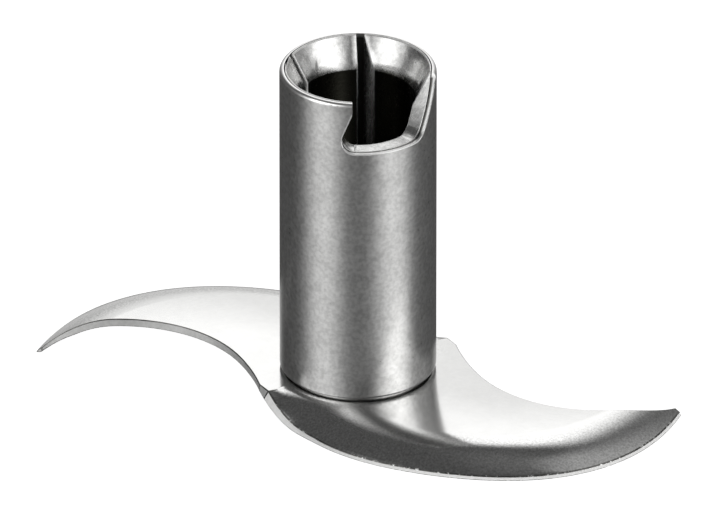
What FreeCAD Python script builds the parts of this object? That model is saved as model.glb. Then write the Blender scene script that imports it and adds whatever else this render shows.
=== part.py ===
import FreeCAD, Part
import math
import os

# Stick blender blade: a pressed S-shaped cutter under a bayonet hub.
# Lengths are in millimetres and angles in degrees. +Z is up. The origin is on the hub's axis,
# level with the lowest edges of the cutter, on which the part stands.
# Angles round the hub start at the front (-Y) and grow towards +X.

# Grip liner: the split spring tube that holds the drive shaft
BORE_DIAMETER = 8.0
LINER_WALL = 1.12
MOUTH_DEPTH = 2.2
MOUTH_LAND = 0.12
SEAM_BORE_WIDTH = 0.85
SEAM_RIM_WIDTH = 0.35
SEAM_BORE_OFFSET = 0.77
RELIEF_WIDTH = 0.38
RELIEF_ANGLE = -113.5
RELIEF_SKEW = 13.0
RELIEF_DEPTH = 7.0

# Hub sleeve: the thin tube round the liner, which sets the hub's diameter and length
LINER_CLEARANCE = 0.06
SLEEVE_WALL = 0.32
SLEEVE_ROUND = 0.28
SLEEVE_STANDOFF = 0.15
HUB_LENGTH = 23.42

# Bayonet notch, cut through both tubes
NOTCH_DEPTH = 3.9
NOTCH_NOSE_ANGLE = -4.4
NOTCH_NOSE_HEIGHT = 0.95
SEAT_RADIUS = 0.95
SEAT_ANGLE = -2.0
NOTCH_FLOOR_ANGLE = 53.4
RAMP_SLOPE = 56.0
RAMP_ROUND = 1.3

# Base plug: closes the hub and is swaged under the cutter
PLUG_HEIGHT = 3.0
SPIGOT_DIAMETER = 5.0
SPIGOT_FLATS = 4.0
SPIGOT_CLEARANCE = 0.03
HEAD_DIAMETER = 6.6
HEAD_HEIGHT = 0.55
HEAD_DIMPLE = 0.9

# Cutter: one sheet, two wings, the second a half turn of the first
SHEET = 0.6
PAD_INSET = 0.2
PAD_MARGIN = 0.65
WING_BEARING = 5.84
BELLY_RADIUS = 15.0
BELLY_SWELL = 0.36
SWELL_PITCH = 90.5
SWELL_ANGLE = -60.0
HEEL_ANGLE = -162.5
HEEL_FLARE = 1.14
FLARE_RUN_OUT = 23.0
TIP_ANGLE = -21.9
TIP_WIDTH = 0.3
TIP_FLARE = 0.06
TIP_LIFT = 0.1
TIP_RUN_OUT = 20.0

# Inner edge of a wing: shares of the line from its tip to the other wing's heel, and of the bay's depth
BAY_DEPTH = 5.5
BAY_SHAPE = [(0.062, 0.411), (0.174, 0.745), (0.352, 0.972), (0.518, 0.986),
             (0.702, 0.786), (0.833, 0.476), (0.943, 0.108)]

# Rolled lip along the outer edge, which is ground to a bevel on top and thinned from below
LIP_DROP = 1.38
LIP_WIDTH = 3.85
LIP_RUN_IN = 14.4
PAD_BLEND = 0.35
EDGE_DEPTH = 0.28
EDGE_SLOPE = 60.0
EDGE_RUN_IN = 30.0
GRIND_WIDTH = 0.9

# Turn between the sections through which the lip's surfaces pass
SECTION_ANGLE = 2.5

# Sizes that follow from those above
CUTTER_TOP = LIP_DROP + EDGE_DEPTH
HUB_BOTTOM = CUTTER_TOP + SLEEVE_STANDOFF
HUB_TOP = HUB_BOTTOM + HUB_LENGTH
BORE_RADIUS = BORE_DIAMETER / 2
LINER_RADIUS = BORE_RADIUS + LINER_WALL
SLEEVE_BORE = LINER_RADIUS + LINER_CLEARANCE
HUB_RADIUS = SLEEVE_BORE + SLEEVE_WALL
PAD_RADIUS = HUB_RADIUS - PAD_INSET
PLUG_TOP = CUTTER_TOP + PLUG_HEIGHT
NOTCH_FLOOR = HUB_TOP - NOTCH_DEPTH
REACH = 2 * HUB_RADIUS


def vec(x, y, z=0.0):
    return FreeCAD.Vector(x, y, z)


def outwards(radius, angle):
    turn = math.radians(angle)
    return vec(radius * math.cos(turn), radius * math.sin(turn))


def around_z(shape, angle):
    turned = shape.copy()
    turned.rotate(vec(0, 0), vec(0, 0, 1), angle)
    return turned


def ring_profile(points, arcs=()):
    """Closed wire in the XZ plane; arcs maps a corner's index to the middle point of its round."""
    edges = []
    for i, start in enumerate(points):
        end = points[(i + 1) % len(points)]
        if i in arcs:
            edges.append(Part.Arc(vec(*start), vec(*arcs[i]), vec(*end)).toShape())
        else:
            edges.append(Part.makeLine(vec(*start), vec(*end)))
    return Part.Wire(edges)


def revolved(points, arcs=()):
    face = Part.Face(ring_profile([(r, 0, z) for r, z in points],
                                  {i: (r, 0, z) for i, (r, z) in dict(arcs).items()}))
    return face.revolve(vec(0, 0), vec(0, 0, 1), 360)


# Bayonet notch
def radial_cut(profile, angle):
    """A profile drawn at the front, X across and Z up, pushed outwards and turned round the hub."""
    block = Part.Face(profile).extrude(vec(0, -REACH, 0))
    return around_z(block, angle)


def notch_hook():
    """Left end: round seat for the drive pin under an overhanging nose."""
    seat_x = HUB_RADIUS * math.sin(math.radians(SEAT_ANGLE - NOTCH_NOSE_ANGLE))
    seat_z = NOTCH_FLOOR + SEAT_RADIUS
    nose_z = HUB_TOP - NOTCH_NOSE_HEIGHT
    above = HUB_TOP + REACH
    side = math.radians(160)
    low = math.radians(215)
    left = (seat_x + SEAT_RADIUS * math.cos(side), seat_z + SEAT_RADIUS * math.sin(side))
    middle = (seat_x + SEAT_RADIUS * math.cos(low), seat_z + SEAT_RADIUS * math.sin(low))
    points = [(0, 0, above), (0, 0, nose_z), (left[0], 0, left[1]), (seat_x, 0, NOTCH_FLOOR),
              (HUB_RADIUS / 2, 0, NOTCH_FLOOR), (HUB_RADIUS / 2, 0, above)]
    return radial_cut(ring_profile(points, {2: (middle[0], 0, middle[1])}), NOTCH_NOSE_ANGLE)


def notch_floor():
    """Middle: a sector of the ring, open at the top."""
    points = [(0, 0, NOTCH_FLOOR), (REACH, 0, NOTCH_FLOOR), (REACH, 0, HUB_TOP + REACH),
              (0, 0, HUB_TOP + REACH)]
    start = NOTCH_NOSE_ANGLE / 2
    sector = Part.Face(ring_profile(points)).revolve(vec(0, 0), vec(0, 0, 1), NOTCH_FLOOR_ANGLE - start)
    return around_z(sector, start - 90)


def notch_ramp():
    """Right end: rounded corner and the ramp on which the drive pin slides in."""
    turn = math.radians(RAMP_SLOPE)
    tangent = RAMP_ROUND * math.tan(turn / 2)
    start = (-tangent, NOTCH_FLOOR)
    end = (tangent * math.cos(turn), NOTCH_FLOOR + tangent * math.sin(turn))
    middle = (start[0] + RAMP_ROUND * math.sin(turn / 2),
              NOTCH_FLOOR + RAMP_ROUND * (1 - math.cos(turn / 2)))
    rise = HUB_TOP + REACH - NOTCH_FLOOR
    top = (rise / math.tan(turn), HUB_TOP + REACH)
    back = -HUB_RADIUS / 2
    points = [(start[0], 0, start[1]), (end[0], 0, end[1]), (top[0], 0, top[1]), (back, 0, top[1]),
              (back, 0, NOTCH_FLOOR)]
    return radial_cut(ring_profile(points, {0: (middle[0], 0, middle[1])}), NOTCH_FLOOR_ANGLE)


def bayonet_notch():
    return notch_floor().fuse([notch_hook(), notch_ramp()])


# Hub
def hub_sleeve(notch):
    soft = SLEEVE_ROUND * (1 - math.sqrt(0.5))
    points = [(SLEEVE_BORE, HUB_BOTTOM), (HUB_RADIUS - SLEEVE_ROUND, HUB_BOTTOM),
              (HUB_RADIUS, HUB_BOTTOM + SLEEVE_ROUND), (HUB_RADIUS, HUB_TOP - SLEEVE_ROUND),
              (HUB_RADIUS - SLEEVE_ROUND, HUB_TOP), (SLEEVE_BORE, HUB_TOP)]
    arcs = {1: (HUB_RADIUS - soft, HUB_BOTTOM + soft), 3: (HUB_RADIUS - soft, HUB_TOP - soft)}
    return revolved(points, arcs).cut(notch)


def liner_seam():
    """Open seam at the back, over the whole length, wider at the bore than at the rim."""
    outer = HUB_RADIUS
    points = [vec(-SEAM_RIM_WIDTH / 2, outer), vec(SEAM_RIM_WIDTH / 2, outer)]
    slope = (SEAM_BORE_WIDTH - SEAM_RIM_WIDTH) / 2
    inner = BORE_RADIUS - SEAM_BORE_WIDTH
    points.append(vec(SEAM_BORE_OFFSET + SEAM_BORE_WIDTH / 2 + slope, inner))
    points.append(vec(SEAM_BORE_OFFSET - SEAM_BORE_WIDTH / 2 - slope, inner))
    face = Part.Face(Part.makePolygon(points + points[:1]))
    return face.extrude(vec(0, 0, HUB_TOP + REACH))


def liner_relief():
    """Narrow slot at the left that lets the mouth spring open."""
    slot = Part.makeBox(RELIEF_WIDTH, LINER_RADIUS, RELIEF_DEPTH + REACH,
                        vec(-RELIEF_WIDTH / 2, -LINER_RADIUS, HUB_TOP - RELIEF_DEPTH))
    middle = (LINER_RADIUS + BORE_RADIUS) / 2
    slot.rotate(vec(0, -middle), vec(0, 0, 1), RELIEF_SKEW)
    return around_z(slot, RELIEF_ANGLE)


def grip_liner(notch):
    points = [(BORE_RADIUS, PLUG_TOP), (LINER_RADIUS, PLUG_TOP), (LINER_RADIUS, HUB_TOP),
              (LINER_RADIUS - MOUTH_LAND, HUB_TOP), (BORE_RADIUS, HUB_TOP - MOUTH_DEPTH)]
    return revolved(points).cut([notch, liner_seam(), liner_relief()])


def double_d(diameter, flats, low, high):
    """Upright bar with two flats."""
    bar = Part.makeCylinder(diameter / 2, high - low, vec(0, 0, low))
    block = Part.makeBox(diameter, flats, high - low, vec(-diameter / 2, -flats / 2, low))
    return bar.common(block)


def base_plug():
    """Plug in the sleeve's foot, with a flatted spigot through the cutter and a swaged head."""
    body = Part.makeCylinder(LINER_RADIUS, PLUG_HEIGHT, vec(0, 0, CUTTER_TOP))
    underside = CUTTER_TOP - SHEET
    spigot = double_d(SPIGOT_DIAMETER, SPIGOT_FLATS, underside, CUTTER_TOP)
    rim = HEAD_DIAMETER / 2
    foot = underside - HEAD_HEIGHT
    shoulder = (rim - HEAD_HEIGHT * 0.3, foot + HEAD_HEIGHT * 0.3)
    points = [(0, underside), (rim, underside), (rim - HEAD_HEIGHT, foot), (HEAD_DIMPLE, foot),
              (0, foot + HEAD_HEIGHT / 2)]
    return body.fuse([spigot, revolved(points, {1: shoulder})]).removeSplitter()


# Cutter
def wing_centre():
    """Centre of a wing's belly, which leaves the least margin of lip beside the hub's pad."""
    return outwards(BELLY_RADIUS - PAD_RADIUS - PAD_MARGIN, WING_BEARING)


def run_in(angle, start, length):
    """0 at the start angle, rising at once and levelling out at 1 after the given turn."""
    share = min(max((angle - start) / length, 0.0), 1.0)
    return math.sin(share * math.pi / 2)


def tip_share(angle):
    """0 along the belly, growing ever faster to 1 at the tip."""
    return max(1 - (TIP_ANGLE - angle) / TIP_RUN_OUT, 0.0) ** 2


def outer_radius(angle):
    """Brink of a wing, its lowest and outermost edge, as a radius about the wing's centre."""
    swell = BELLY_SWELL * math.cos(math.radians((angle - SWELL_ANGLE) * 360 / SWELL_PITCH))
    flare = HEEL_FLARE * (1 - run_in(angle, HEEL_ANGLE, FLARE_RUN_OUT))
    return BELLY_RADIUS + swell + flare + TIP_FLARE * tip_share(angle)


def edge_depth(angle):
    """Height of the bevel, which takes in the whole sheet at the heel."""
    return SHEET - (SHEET - EDGE_DEPTH) * run_in(angle, HEEL_ANGLE, EDGE_RUN_IN)


def brink_level(angle):
    """Height of the brink, which comes down to the ground from the heel and leaves it at the tip."""
    heel = (CUTTER_TOP - SHEET) * (1 - run_in(angle, HEEL_ANGLE, LIP_RUN_IN))
    return heel + TIP_LIFT * tip_share(angle)


def ridge_radius(angle):
    """Upper edge of the bevel, where the sheet's top ends."""
    return outer_radius(angle) - edge_depth(angle) / math.tan(math.radians(EDGE_SLOPE))


def bend_radius(angle):
    """Where the lip starts to bend, outside both the hub's pad and the flat of the wing."""
    flat = BELLY_RADIUS - LIP_WIDTH
    off = math.radians(angle - WING_BEARING - 180)
    along = wing_centre().Length * math.cos(off)
    aside = wing_centre().Length * math.sin(off)
    pad = along + math.sqrt(max(PAD_RADIUS ** 2 - aside ** 2, 0.0))
    return (flat + pad + math.hypot(flat - pad, 2 * PAD_BLEND)) / 2


def wing_point(radius, angle, z):
    return wing_centre() + outwards(radius, angle) + vec(0, 0, z)


def top_level(radius, angle):
    """Height of the sheet's top, which the lip's parabola lowers outside the bend."""
    bend = bend_radius(angle)
    share = max(radius - bend, 0.0) / (ridge_radius(angle) - bend)
    return CUTTER_TOP - (CUTTER_TOP - brink_level(angle) - edge_depth(angle)) * share ** 2


def bay_end(radius, z):
    """Corner at which the bay meets the other wing's heel."""
    heel = wing_point(radius, HEEL_ANGLE, z)
    return vec(-heel.x, -heel.y, heel.z)


def bay_curve():
    """Inner edge of a wing in plan, at the level of the pad's top."""
    tip = wing_point(ridge_radius(TIP_ANGLE) - TIP_WIDTH, TIP_ANGLE, CUTTER_TOP)
    chord = bay_end(ridge_radius(HEEL_ANGLE), CUTTER_TOP) - tip
    sideways = vec(-chord.y, chord.x).normalize()
    points = [tip + chord * along + sideways * (BAY_DEPTH * depth) for along, depth in BAY_SHAPE]
    curve = Part.BSplineCurve()
    curve.interpolate([tip] + points)
    return curve


def bay_parameter(curve, angle):
    """Parameter at which the bay's curve lies at an angle about the wing's centre."""
    low, high = curve.FirstParameter, curve.LastParameter
    high = (low + high) / 2
    for _ in range(50):
        middle = (low + high) / 2
        arm = curve.value(middle) - wing_centre()
        if math.degrees(math.atan2(arm.y, arm.x)) > angle:
            low = middle
        else:
            high = middle
    return low


def bay_radius(curve, angle):
    arm = curve.value(bay_parameter(curve, angle)) - wing_centre()
    return math.hypot(arm.x, arm.y)


def bend_end(curve):
    """Angle at which the bend line runs out through the bay."""
    low, high = SWELL_ANGLE, TIP_ANGLE
    for _ in range(50):
        middle = (low + high) / 2
        if bay_radius(curve, middle) < bend_radius(middle):
            low = middle
        else:
            high = middle
    return high


def spread(start, end):
    """Angles from start to end, at most one section angle apart."""
    count = math.ceil((end - start) / SECTION_ANGLE)
    return [start + (end - start) * i / count for i in range(count + 1)]


def strand(points):
    """Smooth curve through one pole of each section in turn."""
    curve = Part.BSplineCurve()
    curve.interpolate(Points=points, Parameters=[float(i) for i in range(len(points))])
    return curve


def lip_section(start, end, angle, thickness):
    """Poles of a radial section of the lip, which is a parabola."""
    middle = (start + end) / 2
    ends = [top_level(start, angle), top_level(end, angle)]
    pull = 2 * top_level(middle, angle) - sum(ends) / 2
    levels = [ends[0], pull, ends[1]]
    return [wing_point(r, angle, z - thickness) for r, z in zip((start, middle, end), levels)]


def lip_surface(sections):
    strands = [strand([section[i] for section in sections]) for i in range(3)]
    poles = list(zip(*[curve.getPoles() for curve in strands]))
    first = strands[0]
    surface = Part.BSplineSurface()
    surface.buildFromPolesMultsKnots(poles, first.getMultiplicities(), [3, 3], first.getKnots(),
                                     [0.0, 1.0], False, False, first.Degree, 2)
    return surface


def sides(surface):
    """Edges of a surface: first section, last section, inner side, outer side."""
    u_low, u_high, v_low, v_high = surface.bounds()
    curves = (surface.uIso(u_low), surface.uIso(u_high), surface.vIso(v_low), surface.vIso(v_high))
    return [curve.toShape() for curve in curves]


def lip_stretch(angles, inner):
    """Faces of one stretch of lip, and the edges of its top and underside."""
    top_sections, under_sections, brink = [], [], []
    for angle in angles:
        ridge = ridge_radius(angle)
        start = inner(angle)
        depth = edge_depth(angle)
        grind = min(GRIND_WIDTH, (ridge - start) / 2)
        full = depth + (SHEET - depth) * grind / GRIND_WIDTH
        top_sections.append(lip_section(start, ridge, angle, 0))
        under_sections.append(lip_section(start, ridge - grind, angle, full))
        brink.append(wing_point(outer_radius(angle), angle, brink_level(angle)))
    top, under = lip_surface(top_sections), lip_surface(under_sections)
    top_edges, under_edges = sides(top), sides(under)
    low_edge = strand(brink).toShape()
    facet = Part.makeRuledSurface(under_edges[3], low_edge)
    wall = Part.makeRuledSurface(top_edges[3], low_edge)
    first = [under_edges[0], Part.makeLine(under_sections[0][-1], brink[0])]
    last = [under_edges[1], Part.makeLine(under_sections[-1][-1], brink[-1])]
    return [top.toShape(), under.toShape(), facet, wall], top_edges, under_edges[2], first, last


def end_face(top_edge, under_edges):
    """Upright face at the tip, between the top's edge and those below it."""
    low_in, low_out = under_edges[0].Vertexes[0].Point, under_edges[-1].Vertexes[-1].Point
    high_in, high_out = top_edge.Vertexes[0].Point, top_edge.Vertexes[-1].Point
    edges = [top_edge, Part.makeLine(high_out, low_out), Part.makeLine(high_in, low_in)] + under_edges
    return Part.Face(Part.Wire(Part.sortEdges(edges)[0]))


def wing_faces():
    """Faces of one wing outside the pad, and the edges of the pad's top and underside along them."""
    bay = bay_curve()
    crossing = bend_end(bay)
    belly, belly_top, belly_low, heel_under, _ = lip_stretch(
        spread(HEEL_ANGLE, crossing), bend_radius)
    point, point_top, point_low, _, tip_under = lip_stretch(
        spread(crossing, TIP_ANGLE), lambda angle: bay_radius(bay, angle))
    shore = Part.Edge(bay, bay_parameter(bay, crossing), bay.LastParameter)
    corner = Part.makeLine(bay.value(bay.LastParameter), bay_end(ridge_radius(HEEL_ANGLE), CUTTER_TOP))
    shore_low = shore.translated(vec(0, 0, -SHEET))
    corner_low = Part.makeLine(bay.value(bay.LastParameter) - vec(0, 0, SHEET),
                               bay_end(outer_radius(HEEL_ANGLE), CUTTER_TOP - SHEET))
    faces = belly + point + [end_face(point_top[1], tip_under),
                             Part.makeRuledSurface(point_top[2], point_low),
                             Part.makeRuledSurface(shore, shore_low),
                             Part.makeRuledSurface(corner, corner_low)]
    top_rim = [belly_top[0], belly_top[2], shore, corner]
    under_rim = heel_under + [belly_low, shore_low, corner_low]
    return faces, top_rim, under_rim


def both_wings(shapes):
    return shapes + [around_z(shape, 180) for shape in shapes]


def blade():
    faces, top_rim, under_rim = wing_faces()
    faces = both_wings(faces)
    for rim in (top_rim, under_rim):
        faces.append(Part.Face(Part.Wire(Part.sortEdges(both_wings(rim))[0])))
    shell = Part.Shell(faces)
    shell.sewShape()
    sheet = Part.Solid(shell)
    if sheet.Volume < 0:
        sheet.reverse()
    hole = double_d(SPIGOT_DIAMETER + 2 * SPIGOT_CLEARANCE, SPIGOT_FLATS + 2 * SPIGOT_CLEARANCE,
                    0, 2 * CUTTER_TOP)
    return sheet.cut(hole)


def main():
    os.makedirs("parts", exist_ok=True)
    notch = bayonet_notch()
    parts = {
        "hub_sleeve": hub_sleeve(notch),
        "grip_liner": grip_liner(notch),
        "base_plug": base_plug(),
        "blade": blade(),
    }
    for name, shape in parts.items():
        solid = shape.Solids[0] if len(shape.Solids) == 1 else shape
        solid.exportStep(f"parts/{name}.step")
        box = solid.BoundBox
        print(f"{name}: {len(shape.Solids)} solid, valid {solid.isValid()}, volume {solid.Volume:.2f}, "
              f"Z {box.ZMin:.3f} to {box.ZMax:.3f}, X {box.XMin:.3f} to {box.XMax:.3f}, "
              f"Y {box.YMin:.3f} to {box.YMax:.3f}")


main()
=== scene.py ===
import logging
import math
from dataclasses import dataclass, field
from enum import Enum
from typing import Optional, Union

import bpy
import numpy as np
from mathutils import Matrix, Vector


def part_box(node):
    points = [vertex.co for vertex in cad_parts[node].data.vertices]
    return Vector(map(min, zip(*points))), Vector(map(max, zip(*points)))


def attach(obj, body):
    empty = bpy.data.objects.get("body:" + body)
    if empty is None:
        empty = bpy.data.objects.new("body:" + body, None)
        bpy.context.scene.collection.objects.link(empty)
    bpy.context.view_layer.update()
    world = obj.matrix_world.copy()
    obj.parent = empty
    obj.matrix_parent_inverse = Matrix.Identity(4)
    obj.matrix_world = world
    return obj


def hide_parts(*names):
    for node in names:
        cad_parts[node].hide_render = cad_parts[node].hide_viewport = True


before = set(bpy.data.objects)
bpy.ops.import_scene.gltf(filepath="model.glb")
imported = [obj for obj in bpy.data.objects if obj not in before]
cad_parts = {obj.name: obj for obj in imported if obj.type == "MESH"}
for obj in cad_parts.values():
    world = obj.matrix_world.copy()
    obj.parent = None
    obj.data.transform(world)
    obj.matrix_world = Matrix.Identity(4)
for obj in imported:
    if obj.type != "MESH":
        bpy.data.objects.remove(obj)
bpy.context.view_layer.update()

# A millimetre in metres, and a radian in degrees
MM = 0.001
DEGREES = 180 / math.pi
# Two places this close, in millimetres or degrees, are one
TOUCH = 0.001
# Middle of a noise, and steps across a softened edge
NOISE_MIDDLE = 0.5
EDGE_STEPS = 2
WHITE = (1.0, 1.0, 1.0, 1.0)
LOG = logging.getLogger("stick_blender_blade")
Number = Union[int, float]


class Slot(Enum):
    """Names of material slots for the pieces that are modelled here, which no piece is given."""

    SLEEVE = "sleeve_steel"
    LINER = "liner_steel"
    BLADE = "blade_steel"


# Shader maths

class Wire:
    """Output of a shader node, on which sums are written as Python expressions."""

    def __init__(self, graph: "Graph", socket: bpy.types.NodeSocket) -> None:
        """Wraps a socket.

        Args:
            graph: the graph that the socket belongs to.
            socket: the output to read.
        """
        self.graph = graph
        self.socket = socket

    def _sum(self, operation: str, first: "Operand", second: "Operand" = 0.0) -> "Wire":
        """Adds one Math node.

        Args:
            operation: name of the Math node's operation.
            first: first operand.
            second: second operand.

        Returns:
            The node's output.
        """
        return self.graph.node("ShaderNodeMath", {"operation": operation}, {0: first, 1: second})

    def __add__(self, other: "Operand") -> "Wire":
        """Returns self + other."""
        return self._sum("ADD", self, other)

    def __radd__(self, other: "Operand") -> "Wire":
        """Returns other + self."""
        return self._sum("ADD", other, self)

    def __sub__(self, other: "Operand") -> "Wire":
        """Returns self - other."""
        return self._sum("SUBTRACT", self, other)

    def __rsub__(self, other: "Operand") -> "Wire":
        """Returns other - self."""
        return self._sum("SUBTRACT", other, self)

    def __mul__(self, other: "Operand") -> "Wire":
        """Returns self * other."""
        return self._sum("MULTIPLY", self, other)

    def __rmul__(self, other: "Operand") -> "Wire":
        """Returns other * self."""
        return self._sum("MULTIPLY", other, self)

    def __truediv__(self, other: "Operand") -> "Wire":
        """Returns self / other."""
        return self._sum("DIVIDE", self, other)

    def __abs__(self) -> "Wire":
        """Returns the absolute value."""
        return self._sum("ABSOLUTE", self)

    def angle_to(self, along: "Wire") -> "Wire":
        """Returns the angle whose tangent is self over along, in radians."""
        return self._sum("ARCTAN2", self, along)

    def root(self) -> "Wire":
        """Returns the square root."""
        return self._sum("SQRT", self)

    def at_least(self, other: "Operand") -> "Wire":
        """Returns the larger of self and other."""
        return self._sum("MAXIMUM", self, other)

    def above(self, other: "Operand") -> "Wire":
        """Returns 1 where self is greater than other, and 0 elsewhere."""
        return self._sum("GREATER_THAN", self, other)

    def arcsine(self) -> "Wire":
        """Returns the angle whose sine is self, in radians."""
        return self._sum("ARCSINE", self)

    def rise(self, low: Number, high: Number) -> "Wire":
        """Goes smoothly from 0 where self is low to 1 where it is high.

        Args:
            low: value at which the rise starts.
            high: value at which it ends.

        Returns:
            The mask.
        """
        settings = {"interpolation_type": "SMOOTHSTEP"}
        inputs = {"Value": self, "From Min": low, "From Max": high}
        return self.graph.node("ShaderNodeMapRange", settings, inputs)

    def bell(self, middle: Number, core: Number, reach: Number) -> "Wire":
        """Is 1 within core of the middle, and falls smoothly to 0 at reach from it.

        Args:
            middle: value at the centre.
            core: half width of the full part.
            reach: half width of the whole bell.

        Returns:
            The mask.
        """
        return 1.0 - abs(self - middle).rise(core, reach)


Operand = Union[Number, Wire]


class Graph:
    """Node tree of a material or a world."""

    def __init__(self, owner: Union[bpy.types.Material, bpy.types.World]) -> None:
        """Empties the owner's tree and takes it over.

        Args:
            owner: the material or world to fill.
        """
        owner.use_nodes = True
        self.tree = owner.node_tree
        self.tree.nodes.clear()

    def node(self, kind: str, settings: Optional[dict] = None, inputs: Optional[dict] = None,
             output: Union[int, str] = 0) -> Wire:
        """Adds a node, with its settings made before its inputs are joined.

        Args:
            kind: the node's type.
            settings: attributes of the node, by name.
            inputs: values or wires, by the input's name or number.
            output: name or number of the output to return.

        Returns:
            The chosen output.
        """
        made = self.tree.nodes.new(kind)
        for name, value in (settings or {}).items():
            setattr(made, name, value)
        for name, value in (inputs or {}).items():
            if isinstance(value, Wire):
                self.tree.links.new(value.socket, made.inputs[name])
            else:
                made.inputs[name].default_value = value
        return Wire(self, made.outputs[output]) if len(made.outputs) else Wire(self, None)

    def blend(self, share: Operand, first: object, second: object) -> Wire:
        """Mixes two colours.

        Args:
            share: share of the second colour.
            first: colour or wire.
            second: colour or wire.

        Returns:
            The mixed colour.
        """
        return self.node("ShaderNodeMix", {"data_type": "RGBA"}, {0: share, 6: first, 7: second}, 2)

    def noise(self, cells: Number, detail: Number = 2.0) -> Wire:
        """Adds noise fixed to the piece.

        Args:
            cells: cells per metre.
            detail: octaves.

        Returns:
            The noise, about 0 to 1.
        """
        place = self.node("ShaderNodeTexCoord", output="Object")
        return self.node("ShaderNodeTexNoise", inputs={
            "Vector": place, "Scale": cells, "Detail": detail})

    def parts(self, vector: Wire) -> tuple[Wire, Wire, Wire]:
        """Returns the three components of a vector."""
        split = self.node("ShaderNodeSeparateXYZ", inputs={"Vector": vector})
        return tuple(Wire(self, socket) for socket in split.socket.node.outputs)

    def place(self) -> tuple[Wire, Wire, Wire]:
        """Returns the place on the piece, in metres: across, along and up."""
        return self.parts(self.node("ShaderNodeTexCoord", output="Object"))


def grey(level: Number, warmth: Number = 0.004) -> tuple:
    """Returns a slightly warm grey with full alpha."""
    return (level + warmth / 2, level + warmth / 3, level - warmth, 1.0)


@dataclass(frozen=True)
class SteelFinish:
    """Stainless steel with clouds, a finer mottle and a grain. Cells are per metre, depths in metres.

    Contrast is the span of a noise over which its colour changes, and octaves its detail.
    """

    name: str
    shade: float
    roughness: float
    cloud: float = 0.03
    cloud_cells: float = 900.0
    mottle: float = 0.03
    mottle_cells: float = 3500.0
    mottle_depth: float = 0.0
    roughness_spread: float = 0.1
    brushed: float = 0.0
    grain_cells: float = 9000.0
    grain_depth: float = 0.0
    contrast: tuple = (0.3, 0.7)
    octaves: float = 3.0

    def colour(self, graph: Graph) -> Wire:
        """Paints the steel's shade.

        Args:
            graph: the material's graph.

        Returns:
            The base colour.
        """
        spread = self.cloud + self.mottle
        clouds = graph.noise(self.cloud_cells, self.octaves).rise(*self.contrast)
        mottle = graph.noise(self.mottle_cells, self.octaves).rise(*self.contrast)
        share = (clouds * self.cloud + mottle * self.mottle) / spread
        return graph.blend(share, grey(self.shade - spread), grey(self.shade + spread))

    def height(self, graph: Graph) -> Wire:
        """Shapes the surface finely.

        Args:
            graph: the material's graph.

        Returns:
            The height in metres.
        """
        mottle = graph.noise(self.mottle_cells) * self.mottle_depth
        return mottle + graph.noise(self.grain_cells) * self.grain_depth

    def material(self) -> bpy.types.Material:
        """Builds the finish.

        Returns:
            The material.
        """
        made = bpy.data.materials.new(self.name)
        graph = Graph(made)
        uneven = (graph.noise(self.mottle_cells) - NOISE_MIDDLE) * self.roughness_spread
        bump = graph.node("ShaderNodeBump", inputs={"Strength": 1.0, "Distance": 1.0,
                                                    "Height": self.height(graph)})
        steel = graph.node("ShaderNodeBsdfPrincipled", inputs={
            "Base Color": self.colour(graph), "Metallic": 1.0, "Roughness": self.roughness + uneven,
            "Normal": bump, "Anisotropic": self.brushed})
        graph.node("ShaderNodeOutputMaterial", inputs={"Surface": steel})
        return made


@dataclass(frozen=True)
class ShadedBoreFinish(SteelFinish):
    """Steel tube with painted shade on the wall of its bore, below its polished mouth. Places in
    metres.
    """

    node: str = "grip_liner"
    bore_radius: float = 4.0 * MM
    # Grey of the painted shade on the bore's wall
    bore_painted_shade: float = 0.05
    mouth_depth: float = 2.45 * MM
    blend: float = 0.05 * MM

    def colour(self, graph: Graph) -> Wire:
        """Paints shade on the wall of the bore, below the mouth.

        Args:
            graph: the material's graph.

        Returns:
            The base colour.
        """
        across, along, up = graph.place()
        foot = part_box(self.node)[1][2] - self.mouth_depth
        deep = 1.0 - up.rise(foot - self.blend, foot + self.blend)
        near = 1.0 - (across * across + along * along).root().rise(
            self.bore_radius + self.blend, self.bore_radius + 3 * self.blend)
        # Painted shade: dark below the mouth's foot and close to the bore's wall
        return graph.blend(deep * near, SteelFinish.colour(self, graph), grey(self.bore_painted_shade))


@dataclass(frozen=True)
class SleeveFinish(ShadedBoreFinish):
    """Satin tube with a painted highlight along its rim, and a stripe inside, behind the liner's
    seam, where the bore's painted shade is left out.

    Places in metres. The span of the rim's painted highlight is measured down from its top.
    """

    # Stripe behind the liner's seam, left without the bore's painted shade: its place across and its
    # bell
    unshaded_stripe: float = 0.74 * MM
    unshaded_stripe_span: tuple = (0.1 * MM, 0.22 * MM)
    # Painted highlight on the rim: its grey, and its span down from the top
    rim_highlight: float = 0.94
    rim_highlight_span: tuple = (0.12 * MM, 0.34 * MM)

    def colour(self, graph: Graph) -> Wire:
        """Leaves the bore's painted shade out along a stripe behind the seam, and paints a highlight
        on the rim.

        Args:
            graph: the material's graph.

        Returns:
            The base colour.
        """
        across, along, up = graph.place()
        line = across.bell(self.unshaded_stripe, *self.unshaded_stripe_span) * along.above(0.0)
        # Stripe: plain steel grey in place of the painted shade
        striped_colour = graph.blend(line, ShadedBoreFinish.colour(self, graph), grey(self.shade))
        # Painted highlight along the rim
        rim = 1.0 - (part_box(self.node)[1][2] - up).rise(*self.rim_highlight_span)
        return graph.blend(rim, striped_colour, grey(self.rim_highlight))


@dataclass(frozen=True)
class LinerFinish(ShadedBoreFinish):
    """Spring steel whose mouth is bored slightly hollow. Places and depths in metres."""

    mouth: float = 2.2 * MM
    hollow: float = 0.17 * MM

    def height(self, graph: Graph) -> Wire:
        """Hollows the mouth towards its foot.

        Args:
            graph: the material's graph.

        Returns:
            The height in metres.
        """
        _, _, up = graph.place()
        down = ((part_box(self.node)[1][2] - up) * (1 / self.mouth)).at_least(0.0)
        return ShadedBoreFinish.height(self, graph) + down * down * self.hollow


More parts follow.
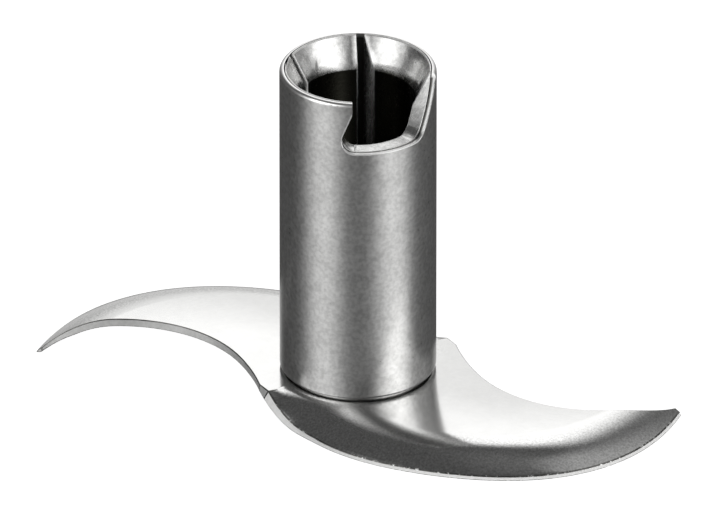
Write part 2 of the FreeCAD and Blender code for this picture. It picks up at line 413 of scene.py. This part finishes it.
@dataclass(frozen=True)
class SheetFinish(SteelFinish):
    """Polished sheet, slightly crowned and twisted, with coarser grain on its lips.

    Places in metres, but the heel and the lip's width in millimetres. The grain is full up to the
    core's share of that width. Crown and twist are bends per metre.
    """

    centre: tuple = (9.003 * MM, 0.921 * MM)
    heel: tuple = (-6.336, -3.915)
    crown_radius: float = 5.0 * MM
    crown_reach: float = 6.0 * MM
    crown: float = 11.0
    twist: float = 4.6
    twist_reach: float = 17.0 * MM
    lip_width: float = 3.6
    lip_core: float = 0.6
    lip_grain: float = 1.1
    lip_cells: float = 6500.0
    lip_depth: float = 0.0000025

    def lip(self, graph: Graph) -> Wire:
        """Returns 1 on the rolled lips and 0 on the flat."""
        inside = graph.node("ShaderNodeAttribute", {"attribute_name": "inside"}, output="Fac")
        return 1.0 - inside.rise(self.lip_width * self.lip_core, self.lip_width)

    def colour(self, graph: Graph) -> Wire:
        """Adds the coarse grain of the lips, where the sheet was stretched.

        Args:
            graph: the material's graph.

        Returns:
            The base colour.
        """
        grain = (graph.noise(self.lip_cells, self.octaves) - NOISE_MIDDLE) * self.lip_grain
        return graph.node("ShaderNodeVectorMath", {"operation": "SCALE"}, {
            0: SteelFinish.colour(self, graph), "Scale": 1.0 + grain * self.lip(graph)})

    def height(self, graph: Graph) -> Wire:
        """Crowns the wings, each about its own centre, and twists them slightly along their length.

        Args:
            graph: the material's graph.

        Returns:
            The height in metres.
        """
        across, along, _ = graph.place()
        side = (along * self.heel[0] - across * self.heel[1]).above(0.0) * 2.0 - 1.0
        east = across * side - self.centre[0]
        north = along * side - self.centre[1]
        away = ((east * east + north * north).root() - self.crown_radius).at_least(0.0)
        past = (away - self.crown_reach).at_least(0.0)
        bent = across * (1 / self.twist_reach)
        lever = across / (bent * bent + 1.0).root()
        shape = (away * away - past * past) * (self.crown / 2) + lever * along * self.twist
        grain = graph.noise(self.lip_cells) * self.lip(graph) * self.lip_depth
        return SteelFinish.height(self, graph) + grain - shape


@dataclass(frozen=True)
class EdgeShadeAndGlintFinish(SteelFinish):
    """Broken edges of the sheet, painted dark as shade, with glints painted where a lip was ground
    and left a burr.

    The reach is in millimetres from the ridge, and the span is that of the noise that sets the
    painted glints.
    """

    burr_glint_cells: float = 4200.0
    burr_glint_reach: float = 0.2
    burr_glint_span: tuple = (0.56, 0.66)
    burr_glint_shade: float = 0.9

    def colour(self, graph: Graph) -> Wire:
        """Paints glints along the ridge, over the painted shade of the edge.

        Args:
            graph: the material's graph.

        Returns:
            The base colour.
        """
        inside = graph.node("ShaderNodeAttribute", {"attribute_name": "inside"}, output="Fac")
        # Painted glints: bright spots near the ridge
        burr_glints = graph.noise(self.burr_glint_cells).rise(*self.burr_glint_span)
        burr_glints = burr_glints * (1.0 - inside.rise(self.burr_glint_reach, 2 * self.burr_glint_reach))
        return graph.blend(burr_glints, SteelFinish.colour(self, graph), grey(self.burr_glint_shade))


# Both tubes have painted shade inside their bores, at the grey given for it.
SATIN_TUBE = SleeveFinish("satin_tube", 0.66, 0.3, cloud=0.04, mottle=0.08, mottle_depth=0.000003,
                          grain_depth=0.0000015, node="hub_sleeve", bore_radius=5.2 * MM,
                          mouth_depth=0.3 * MM, bore_painted_shade=0.12)
SPRING_STEEL = LinerFinish("spring_steel", 0.7, 0.26, cloud=0.08, cloud_cells=1400.0, mottle=0.08,
                           mottle_depth=0.000006, mouth_depth=2.25 * MM, bore_painted_shade=0.025)
# Rounds of the hub's tubes: a near-white grey as painted highlight
EDGE_HIGHLIGHT = SteelFinish("painted_edge_highlight", 0.92, 0.5, cloud=0.02, mottle=0.04)
TURNED_PLUG = SteelFinish("turned_plug", 0.55, 0.3, grain_depth=0.000002)
POLISHED_SHEET = SheetFinish("polished_sheet", 0.76, 0.13, cloud=0.01, mottle=0.01,
                             roughness_spread=0.04, grain_depth=0.0000006)
# Ground strip along the lips: its roughness and brushing are its own, and its near-white grey is a
# painted highlight.
GROUND_EDGE = SteelFinish("ground_edge", 0.96, 0.6, cloud=0.02, mottle=0.04, brushed=0.8,
                          grain_depth=0.000002)
SHEARED_WALL = SteelFinish("sheared_wall", 0.8, 0.66, cloud=0.03, cloud_cells=600.0, mottle=0.04,
                           grain_depth=0.000002)
# Every rounded edge of the cutter is painted dark as shade, with painted glints near the ridge.
SHADED_BROKEN_EDGE = EdgeShadeAndGlintFinish("shaded_broken_edge", 0.16, 0.35, cloud=0.03, mottle=0.03)


# Modelling helpers

def deselect() -> None:
    """Leaves edit mode and deselects every object."""
    if bpy.context.object and bpy.context.object.mode != "OBJECT":
        bpy.ops.object.mode_set(mode="OBJECT")
    bpy.ops.object.select_all(action="DESELECT")


def edit_all(piece: bpy.types.Object) -> None:
    """Selects one piece alone and opens its whole mesh for editing.

    Args:
        piece: the object to edit.
    """
    deselect()
    bpy.context.view_layer.objects.active = piece
    piece.select_set(True)
    bpy.ops.object.mode_set(mode="EDIT")
    bpy.ops.mesh.select_mode(type="VERT")
    bpy.ops.mesh.select_all(action="SELECT")


def apply_modifier(piece: bpy.types.Object, kind: str, **settings: object) -> None:
    """Adds a modifier and applies it.

    Args:
        piece: the object to change.
        kind: the modifier's type.
        settings: its attributes, by name.
    """
    deselect()
    bpy.context.view_layer.objects.active = piece
    piece.select_set(True)
    made = piece.modifiers.new(kind.lower(), kind)
    for name, value in settings.items():
        setattr(made, name, value)
    bpy.ops.object.modifier_apply(modifier=made.name)


def soften(piece: bpy.types.Object, width: float, angle: float, material: int,
           group: str = "") -> None:
    """Rounds the edges of a finished mesh and shades it smoothly between them.

    Args:
        piece: the object to finish.
        width: width of the round in metres.
        angle: least angle between faces, in degrees, that counts as an edge.
        material: place of the rounds' own material on the piece.
        group: vertex group whose edges alone are rounded, or nothing for every edge.
    """
    limit = math.radians(angle)
    method = "VGROUP" if group else "ANGLE"
    apply_modifier(piece, "BEVEL", width=width, segments=EDGE_STEPS, limit_method=method,
                   angle_limit=limit, vertex_group=group, material=material, use_clamp_overlap=False)
    bpy.ops.object.shade_smooth_by_angle(angle=limit)
    apply_modifier(piece, "WEIGHTED_NORMAL", keep_sharp=True)


def finish_piece(piece: bpy.types.Object, node: str) -> None:
    """Ties a new piece to the frame.

    Args:
        piece: the finished object.
        node: the CAD node that it stands for.
    """
    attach(piece, "root")
    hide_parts(node)
    LOG.info("%s: %d faces", piece.name, len(piece.data.polygons))


def smooth_line(posts: list[Vector], count: int) -> list[Vector]:
    """Draws a cubic spline through posts, whose speed follows the chords between them.

    Args:
        posts: points that the line passes through.
        count: number of steps along it.

    Returns:
        The points of the line, both ends included.
    """
    places = np.array([list(post) for post in posts])
    chords = np.diff(places, axis=0)
    steps = np.linalg.norm(chords, axis=1)
    slopes = chords / steps[:, None]
    ties = np.eye(len(posts))
    pulls = np.zeros_like(places)
    for i in range(1, len(posts) - 1):
        ties[i, i - 1:i + 2] = steps[i], 2 * (steps[i - 1] + steps[i]), steps[i - 1]
        pulls[i] = 3 * (steps[i] * slopes[i - 1] + steps[i - 1] * slopes[i])
    pulls[0] = slopes[0] + (slopes[0] - slopes[1]) * steps[0] / (steps[0] + steps[1])
    pulls[-1] = slopes[-1] + (slopes[-1] - slopes[-2]) * steps[-1] / (steps[-1] + steps[-2])
    tangents = np.linalg.solve(ties, pulls)
    marks = np.concatenate(([0.0], np.cumsum(steps)))
    line = []
    for reach in np.linspace(0.0, marks[-1], count + 1):
        i = min(int(np.searchsorted(marks, reach, side="right")) - 1, len(steps) - 1)
        share = (reach - marks[i]) / steps[i]
        rest = 1 - share
        point = places[i] * (1 + 2 * share) * rest ** 2 + places[i + 1] * (1 + 2 * rest) * share ** 2
        point += (tangents[i] * rest - tangents[i + 1] * share) * share * rest * steps[i]
        line.append(Vector(point))
    return line


# Cutter

@dataclass
class Cutter:
    """S-shaped sheet with two rolled lips and a ground edge. Millimetres and degrees.

    A wing is described about its own centre. The second wing is a half turn of the first.
    """

    top: float = field(default_factory=lambda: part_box("blade")[1][2] / MM)
    sheet: float = 0.6
    pad_radius: float = 5.3
    pad_margin: float = 0.65
    pad_blend: float = 0.35
    bearing: float = 5.84
    belly: float = 15.0
    swell: float = 0.36
    swell_pitch: float = 90.5
    swell_angle: float = -60.0
    heel: float = -162.5
    heel_flare: float = 1.14
    flare_run_out: float = 23.0
    tip: float = -21.9
    tip_width: float = 0.3
    tip_flare: float = 0.06
    tip_lift: float = 0.1
    tip_run_out: float = 20.0
    bay_depth: float = 5.5
    bay_shape: tuple = ((0.062, 0.411), (0.174, 0.745), (0.352, 0.972), (0.518, 0.986),
                        (0.702, 0.786), (0.833, 0.476), (0.943, 0.108))
    lip_width: float = 3.85
    lip_run_in: float = 14.4
    edge_depth: float = 0.28
    edge_slope: float = 60.0
    edge_run_in: float = 30.0
    grind: float = 0.9
    spigot: float = 5.06
    flats: float = 4.06
    belly_columns: int = 120
    tip_columns: int = 36
    rows: int = 16
    bay_points: int = 150
    hole_sides: int = 64
    halvings: int = 40
    softness: float = 0.062
    sharp_angle: float = 15.0
    bay: list[Vector] = field(init=False)
    crossing: float = field(init=False)

    def __post_init__(self) -> None:
        """Draws the bay and finds the angle at which the bend line runs out through it."""
        self.bay = self.bay_line()
        low, high = self.swell_angle, self.tip
        for _ in range(self.halvings):
            middle = (low + high) / 2
            if self.bay_radius(middle) < self.bend(middle):
                low = middle
            else:
                high = middle
        self.crossing = high

    def run_in(self, angle: float, length: float) -> float:
        """Returns how far something has run in from the heel, from 0 there to 1 after a length."""
        share = min(max((angle - self.heel) / length, 0.0), 1.0)
        return math.sin(share * math.pi / 2)

    def tip_share(self, angle: float) -> float:
        """Returns 0 along the belly, growing ever faster to 1 at the tip."""
        return max(1 - (self.tip - angle) / self.tip_run_out, 0.0) ** 2

    def brink(self, angle: float) -> float:
        """Returns the radius of the lowest and outermost edge."""
        waves = (angle - self.swell_angle) / self.swell_pitch
        swell = self.swell * math.cos(2 * math.pi * waves)
        flare = self.heel_flare * (1 - self.run_in(angle, self.flare_run_out))
        return self.belly + swell + flare + self.tip_flare * self.tip_share(angle)

    def depth(self, angle: float) -> float:
        """Returns the height of the ground edge, which takes in the whole sheet at the heel."""
        return self.sheet - (self.sheet - self.edge_depth) * self.run_in(angle, self.edge_run_in)

    def brink_level(self, angle: float) -> float:
        """Returns the height of the brink."""
        heel = (self.top - self.sheet) * (1 - self.run_in(angle, self.lip_run_in))
        return heel + self.tip_lift * self.tip_share(angle)

    def ridge(self, angle: float) -> float:
        """Returns the radius at which the top ends and the ground edge starts."""
        return self.brink(angle) - self.depth(angle) / math.tan(math.radians(self.edge_slope))

    def centre(self) -> Vector:
        """Returns the centre of the right wing in plan."""
        away = self.belly - self.pad_radius - self.pad_margin
        turn = math.radians(self.bearing)
        return Vector((away * math.cos(turn), away * math.sin(turn), 0.0))

    def bend(self, angle: float) -> float:
        """Returns the radius at which the lip starts to bend, outside the pad and the flat."""
        flat = self.belly - self.lip_width
        off = math.radians(angle - self.bearing - 180)
        aside = self.centre().length * math.sin(off)
        pad = math.sqrt(max(self.pad_radius ** 2 - aside ** 2, 0))
        pad += self.centre().length * math.cos(off)
        return (flat + pad + math.hypot(flat - pad, 2 * self.pad_blend)) / 2

    def level(self, radius: float, angle: float) -> float:
        """Returns the height of the sheet's top, which falls in a parabola outside the bend."""
        start = self.bend(angle)
        share = max(radius - start, 0.0) / (self.ridge(angle) - start)
        return self.top - (self.top - self.brink_level(angle) - self.depth(angle)) * share ** 2

    def place(self, radius: float, angle: float, level: float) -> Vector:
        """Returns a point of the right wing, in millimetres."""
        turn = math.radians(angle)
        return self.centre() + Vector((radius * math.cos(turn), radius * math.sin(turn), level))

    def bay_line(self) -> list[Vector]:
        """Draws the inner edge of the right wing, from its tip to the left wing's heel.

        Returns:
            Points of a cubic spline through the shares of its shape.
        """
        tip = self.place(self.ridge(self.tip) - self.tip_width, self.tip, self.top)
        heel = self.place(self.ridge(self.heel), self.heel, 0.0)
        chord = Vector((-heel.x, -heel.y, self.top)) - tip
        sideways = Vector((-chord.y, chord.x, 0.0)).normalized()
        posts = [tip] + [tip + chord * along + sideways * (self.bay_depth * deep)
                         for along, deep in self.bay_shape]
        return smooth_line(posts, self.bay_points)

    def bay_radius(self, angle: float) -> float:
        """Returns the radius of the bay's half next to the tip."""
        arms = [point - self.centre() for point in self.bay[:len(self.bay) // 2]]
        angles = [math.degrees(math.atan2(arm.y, arm.x)) for arm in arms]
        radii = [math.hypot(arm.x, arm.y) for arm in arms]
        return float(np.interp(angle, angles[::-1], radii[::-1]))

    def lip_start(self, angle: float) -> float:
        """Returns the radius of the lip's inner side: the bend line, and past it the bay."""
        return self.bend(angle) if angle <= self.crossing else self.bay_radius(angle)

    def lip(self, start: float, end: float, columns: int) -> bpy.types.Object:
        """Makes the top of one stretch of the right lip.

        Args:
            start: angle of its first column.
            end: angle of its last column.
            columns: number of columns.

        Returns:
            The open grid.
        """
        deselect()
        bpy.ops.mesh.primitive_grid_add(x_subdivisions=columns, y_subdivisions=self.rows, size=1.0)
        piece = bpy.context.object
        for vertex in piece.data.vertices:
            angle = start + (end - start) * (vertex.co.x + 0.5)
            low = self.lip_start(angle)
            radius = low + (self.ridge(angle) - low) * (vertex.co.y + 0.5)
            vertex.co = self.place(radius, angle, self.level(radius, angle)) * MM
        return piece

    def flat(self) -> bpy.types.Object:
        """Makes the flat middle, bounded by the heels, the bend lines and the bays.

        Returns:
            One face.
        """
        low = self.bend(self.heel)
        width = self.ridge(self.heel) - low
        outline = [self.place(low + width * (1 - i / self.rows), self.heel, self.top)
                   for i in range(self.rows + 1)]
        step = (self.crossing - self.heel) / self.belly_columns
        angles = [self.heel + step * (i + 1) for i in range(self.belly_columns)]
        outline += [self.place(self.bend(angle), angle, self.top) for angle in angles]
        corner = outline[-1] - self.centre()
        turn = math.atan2(corner.y, corner.x)
        shore = [point - self.centre() for point in self.bay]
        past = next(i for i, arm in enumerate(shore) if math.atan2(arm.y, arm.x) < turn)
        outline += self.bay[past:]
        outline += [Vector((-point.x, -point.y, point.z)) for point in outline]
        deselect()
        bpy.ops.mesh.primitive_circle_add(vertices=len(outline), fill_type="NGON")
        piece = bpy.context.object
        for vertex, point in zip(piece.data.vertices, outline):
            vertex.co = point * MM
        return piece

    def polar(self, point: Vector) -> tuple[float, float, float]:
        """Finds a point of the sheet on the lip of either wing.

        Args:
            point: the point in metres.

        Returns:
            Side of its wing, 1 or -1, angle and radius. The side is 0 for a point that is on no lip.
        """
        for side in (1.0, -1.0):
            arm = Vector((point.x, point.y, 0.0)) * (side / MM) - self.centre()
            angle = math.degrees(math.atan2(arm.y, arm.x))
            inside = self.heel - TOUCH < angle < self.tip + TOUCH
            if inside and arm.length > self.lip_start(angle) - TOUCH:
                return side, angle, arm.length
        return 0.0, 0.0, 0.0

    def below(self, point: Vector) -> Vector:
        """Finds the point of the underside that lies below a point of the top.

        Args:
            point: a point of the top, in metres.

        Returns:
            The point of the underside, in metres.
        """
        side, angle, radius = self.polar(point)
        if side == 0.0:
            return point - Vector((0.0, 0.0, self.sheet * MM))
        ridge, depth = self.ridge(angle), self.depth(angle)
        ground = min(self.grind, (ridge - self.lip_start(angle)) / 2)
        full = depth + (self.sheet - depth) * ground / self.grind
        share = (radius - ridge + ground) / ground
        if share <= 0:
            place = self.place(radius, angle, self.level(radius, angle) - full)
        else:
            first = self.place(ridge - ground, angle, self.level(ridge - ground, angle) - full)
            place = first.lerp(self.place(self.brink(angle), angle, self.brink_level(angle)), share)
        return Vector((place.x * side, place.y * side, place.z)) * MM

    def thicken(self, piece: bpy.types.Object) -> None:
        """Gives the top its underside and walls, and the ground edge its own material.

        Args:
            piece: the merged top.
        """
        edit_all(piece)
        bpy.ops.mesh.extrude_region_move(TRANSFORM_OT_translate={"value": (0.0, 0.0, 0.0)})
        bpy.ops.object.mode_set(mode="OBJECT")
        mesh = piece.data
        lower = {vertex.index for vertex in mesh.vertices if vertex.select}
        for index in lower:
            mesh.vertices[index].co = self.below(mesh.vertices[index].co)
        for face in mesh.polygons:
            wall = 0 < sum(index in lower for index in face.vertices) < len(face.vertices)
            if wall:
                face.material_index = 1 if self.on_edge(Vector(face.center)) else 2
        edit_all(piece)
        bpy.ops.mesh.normals_make_consistent(inside=False)
        bpy.ops.object.mode_set(mode="OBJECT")

    def on_edge(self, point: Vector) -> bool:
        """Tells whether a point in metres lies outside the ridge of a lip."""
        side, angle, radius = self.polar(point)
        return side != 0.0 and radius > self.ridge(angle) + TOUCH

    def spigot_hole(self, piece: bpy.types.Object) -> None:
        """Cuts the hole with two flats that the plug's spigot passes through.

        Args:
            piece: the solid cutter.
        """
        deselect()
        bpy.ops.mesh.primitive_cylinder_add(vertices=self.hole_sides, radius=self.spigot / 2 * MM,
                                            depth=4 * self.sheet * MM, location=(0, 0, self.top * MM))
        tool = bpy.context.object
        bpy.ops.object.transform_apply(location=True)
        for side in (1.0, -1.0):
            edit_all(tool)
            bpy.ops.mesh.bisect(plane_co=(0.0, side * self.flats / 2 * MM, 0.0),
                                plane_no=(0.0, side, 0.0), use_fill=True, clear_outer=True)
        bpy.ops.object.mode_set(mode="OBJECT")
        apply_modifier(piece, "BOOLEAN", object=tool, operation="DIFFERENCE", solver="EXACT")
        bpy.data.objects.remove(tool)

    def inside(self, point: Vector) -> float:
        """Returns how far a point in metres lies inside the ridge, in millimetres."""
        side, angle, radius = self.polar(point)
        return self.ridge(angle) - radius if side else self.lip_width

    def measure(self, piece: bpy.types.Object) -> None:
        """Stores at each vertex how far it lies inside the ridge, in millimetres.

        Args:
            piece: the finished cutter.
        """
        inside = piece.data.attributes.new("inside", "FLOAT", "POINT")
        for vertex in piece.data.vertices:
            inside.data[vertex.index].value = self.inside(vertex.co)

    def build(self) -> bpy.types.Object:
        """Builds the cutter.

        Returns:
            The finished piece.
        """
        tops = []
        for turn in (0.0, math.pi):
            for start, end, columns in ((self.heel, self.crossing, self.belly_columns),
                                        (self.crossing, self.tip, self.tip_columns)):
                piece = self.lip(start, end, columns)
                edit_all(piece)
                bpy.ops.transform.rotate(value=turn, orient_axis="Z", center_override=(0.0, 0.0, 0.0))
                bpy.ops.object.mode_set(mode="OBJECT")
                tops.append(piece)
        piece = self.flat()
        for top in tops:
            top.select_set(True)
        bpy.ops.object.join()
        edit_all(piece)
        bpy.ops.mesh.remove_doubles(threshold=TOUCH * MM)
        bpy.ops.object.mode_set(mode="OBJECT")
        piece.name = "cutter"
        self.thicken(piece)
        self.spigot_hole(piece)
        for finish in (POLISHED_SHEET, GROUND_EDGE, SHEARED_WALL, SHADED_BROKEN_EDGE):
            piece.data.materials.append(finish.material())
        soften(piece, self.softness * MM, self.sharp_angle, 3)
        self.measure(piece)
        finish_piece(piece, "blade")
        return piece


# Hub

@dataclass
class HubTube:
    """A tube of the hub, taken from its CAD node and given soft edges, whose rounds carry a painted
    highlight. Millimetres and degrees.

    Wall is the least cosine between a face and the hub's outward direction that makes it a wall.
    """

    node: str
    name: str
    slot: Slot
    finish: SteelFinish
    softness: float
    notch_only: bool = False
    sharp_angle: float = 32.0
    level_angle: float = 0.3
    corner_angle: float = 53.4
    corner_round: float = 1.3
    ramp_slope: float = 56.0
    hub_radius: float = 5.5
    notch_floor: float = 21.33
    rim_foot: float = 24.9
    near: float = 0.01
    wall: float = 0.995

    def round_corner(self, piece: bpy.types.Object) -> None:
        """Carries the round between the notch's ramp and its floor on to where it meets the floor.

        Args:
            piece: the tube.
        """
        tangent = self.corner_round * math.tan(math.radians(self.ramp_slope) / 2)
        for vertex in piece.data.vertices:
            angle = math.degrees(math.atan2(vertex.co.x, -vertex.co.y)) - self.corner_angle
            reach = self.hub_radius * math.radians(angle) + tangent
            level = abs(vertex.co.z / MM - self.notch_floor) < self.near
            if level and 0 < reach < tangent + TOUCH:
                rise = self.corner_round - math.sqrt(self.corner_round ** 2 - reach ** 2)
                vertex.co.z += rise * MM

    def notch_edge(self, piece: bpy.types.Object) -> str:
        """Groups the outer edge of the notch, where it alone is to be rounded.

        Args:
            piece: the tube.

        Returns:
            The group's name, or nothing where every edge is to be rounded.
        """
        if not self.notch_only:
            return ""
        group = piece.vertex_groups.new(name="notch_edge")
        edge = [vertex.index for vertex in piece.data.vertices
                if math.hypot(vertex.co.x, vertex.co.y) / MM > self.hub_radius - self.near
                and self.notch_floor - self.near < vertex.co.z / MM < self.rim_foot]
        group.add(edge, 1.0, "REPLACE")
        return group.name

    def true_walls(self, piece: bpy.types.Object) -> None:
        """Shades the upright walls by their true normals, whatever the shape of their faces.

        Args:
            piece: the finished tube.
        """
        mesh = piece.data
        normals = [Vector(corner.vector) for corner in mesh.corner_normals]
        for face in mesh.polygons:
            for corner in face.loop_indices:
                place = mesh.vertices[mesh.loops[corner].vertex_index].co
                out = Vector((place.x, place.y, 0.0)).normalized()
                if abs(face.normal.dot(out)) > self.wall:
                    normals[corner] = out * math.copysign(1.0, face.normal.dot(out))
        mesh.normals_split_custom_set(normals)

    def build(self) -> bpy.types.Object:
        """Builds the tube.

        Returns:
            The finished piece.
        """
        deselect()
        piece = bpy.data.objects.new(self.name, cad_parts[self.node].data.copy())
        bpy.context.scene.collection.objects.link(piece)
        edit_all(piece)
        bpy.ops.mesh.remove_doubles(threshold=TOUCH * MM)
        bpy.ops.mesh.customdata_custom_splitnormals_clear()
        bpy.ops.object.mode_set(mode="OBJECT")
        self.round_corner(piece)
        edit_all(piece)
        bpy.ops.mesh.remove_doubles(threshold=self.near * MM)
        bpy.ops.mesh.dissolve_limited(angle_limit=math.radians(self.level_angle))
        bpy.ops.object.mode_set(mode="OBJECT")
        piece.data.materials.clear()
        # The rounds take the painted edge highlight
        for finish in (self.finish, EDGE_HIGHLIGHT):
            piece.data.materials.append(finish.material())
        soften(piece, self.softness * MM, self.sharp_angle, 1, self.notch_edge(piece))
        self.true_walls(piece)
        finish_piece(piece, self.node)
        return piece


# Studio

@dataclass
class Studio:
    """Pale floor, soft surroundings and the camera. Angles are in degrees, lengths in metres.

    The camera's clip is in shares of its distance. A pair of angles is the core and reach of a bell,
    or the span of a rise.
    """

    elevation: float = 28.5
    distance: float = 1.7
    picture_width: float = 49.885 * MM
    aim: Vector = field(default_factory=lambda: Vector((-0.14, 0.0, 10.23)) * MM)
    sensor: float = 36.0
    clip: tuple = (0.005, 4.0)
    floor_size: float = 3.0
    floor_shade: float = 0.5
    floor_glow: float = 0.93
    screen_heading: float = 3.0
    screen: tuple = (3.0, 41.0)
    screen_top: tuple = (55.0, 68.0)
    screen_foot: tuple = (-26.0, -12.0)
    screen_middle: tuple = (0.0, 24.0)
    screen_bright: tuple = (25.0, 32.0)
    screen_levels: tuple = (0.46, 0.25, 0.29)
    screen_light: float = 1.26
    lamp_heading: float = 127.0
    lamp: tuple = (3.0, 42.0)
    lamp_top: tuple = (36.0, 52.0)
    lamp_middle: tuple = (-22.0, 12.0)
    lamp_light: float = 2.0
    lamp_low: float = 0.375
    lamp_lean: float = 0.08
    glow_heading: float = 85.0
    glow: tuple = (18.0, 52.0)
    glow_foot: tuple = (-40.0, 30.0)
    glow_top: tuple = (66.0, 90.0)
    glow_light: float = 0.3
    fill: tuple = (60.0, 150.0)
    fill_top: tuple = (-18.0, 4.0)
    fill_light: float = 0.08
    dusk: float = 0.08
    dusk_above: float = 0.06

    def build(self) -> None:
        """Makes the camera, the world and the floor."""
        bpy.context.scene.view_settings.view_transform = "Standard"
        self.camera()
        self.world()
        self.floor()

    def camera(self) -> None:
        """Makes the long lens camera in front of the hub."""
        lens = bpy.data.cameras.new("camera")
        lens.sensor_width = self.sensor
        lens.lens = self.sensor * self.distance / self.picture_width
        lens.clip_start, lens.clip_end = (self.distance * share for share in self.clip)
        eye = bpy.data.objects.new("camera", lens)
        tilt = math.radians(self.elevation)
        back = Vector((0.0, -math.cos(tilt), math.sin(tilt)))
        eye.location = self.aim + back * self.distance
        eye.rotation_euler = (-back).to_track_quat("-Z", "Y").to_euler()
        bpy.context.scene.collection.objects.link(eye)
        bpy.context.scene.camera = eye

    def surroundings(self, graph: Graph) -> Wire:
        """Paints the studio by direction, in degrees from the back and above the horizon.

        A tall screen stands behind, brighter above than below, and a soft lamp on each side in front.
        The right lamp spills a faint glow, and the table in front gives a little light from below.

        Args:
            graph: the world's graph.

        Returns:
            The light from each direction.
        """
        across, along, up = graph.parts(graph.node("ShaderNodeTexCoord", output="Generated"))
        heading = across.angle_to(along) * DEGREES
        aside = abs(heading)
        height = up.arcsine() * DEGREES
        screen = heading.bell(self.screen_heading, *self.screen) * height.rise(*self.screen_foot)
        screen = screen * (1.0 - height.rise(*self.screen_top))
        low, middle, bright = self.screen_levels
        screen = screen * (low + height.rise(*self.screen_middle) * middle
                           + height.rise(*self.screen_bright) * bright)
        lamps = aside.bell(self.lamp_heading, *self.lamp) * (1.0 - height.rise(*self.lamp_top))
        lamps = lamps * (self.lamp_low + (1.0 - self.lamp_low) * height.rise(*self.lamp_middle))
        lamps = lamps * (1.0 + across * self.lamp_lean)
        glow = heading.bell(self.glow_heading, *self.glow) * (1.0 - height.rise(*self.glow_top))
        glow = glow * height.rise(*self.glow_foot)
        fill = aside.rise(*self.fill) * (1.0 - height.rise(*self.fill_top))
        dusk = self.dusk + height.rise(*self.glow_top) * self.dusk_above
        return (dusk + screen * self.screen_light + lamps * self.lamp_light + glow * self.glow_light
                + fill * self.fill_light)

    def world(self) -> None:
        """Makes the surroundings, which the camera itself sees as plain white."""
        world = bpy.data.worlds.new("studio")
        bpy.context.scene.world = world
        graph = Graph(world)
        seen = graph.node("ShaderNodeLightPath", output="Is Camera Ray")
        light = graph.node("ShaderNodeBackground", inputs={
            "Color": grey(1.0), "Strength": self.surroundings(graph)})
        plain = graph.node("ShaderNodeBackground", inputs={"Color": WHITE, "Strength": 1.0})
        both = graph.node("ShaderNodeMixShader", inputs={0: seen, 1: light, 2: plain})
        graph.node("ShaderNodeOutputWorld", inputs={"Surface": both})

    def floor(self) -> None:
        """Makes the pale floor, which shows only to the camera."""
        deselect()
        bpy.ops.mesh.primitive_plane_add(size=self.floor_size)
        plane = bpy.context.object
        plane.name = "floor"
        paper = bpy.data.materials.new("paper")
        graph = Graph(paper)
        matt = graph.node("ShaderNodeBsdfDiffuse", inputs={"Color": grey(self.floor_shade)})
        glow = graph.node("ShaderNodeEmission", inputs={"Color": WHITE, "Strength": self.floor_glow})
        both = graph.node("ShaderNodeAddShader", inputs={0: matt, 1: glow})
        graph.node("ShaderNodeOutputMaterial", inputs={"Surface": both})
        plane.data.materials.append(paper)
        plane.visible_glossy = False
        plane.visible_diffuse = False


# Carried-over pieces

def dress(node: str, finish: SteelFinish) -> None:
    """Gives a CAD node a finish.

    Args:
        node: name of the node.
        finish: the finish of its steel.
    """
    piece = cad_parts[node]
    piece.data.materials.clear()
    piece.data.materials.append(finish.material())


def main() -> None:
    """Builds the object and its studio, and writes how large it came out."""
    logging.basicConfig(level=logging.INFO)
    Cutter().build()
    HubTube("hub_sleeve", "sleeve_tube", Slot.SLEEVE, SATIN_TUBE, softness=0.1,
            notch_only=True).build()
    HubTube("grip_liner", "liner_tube", Slot.LINER, SPRING_STEEL, softness=0.09).build()
    dress("base_plug", TURNED_PLUG)
    Studio().build()


if __name__ == "__main__":
    main()
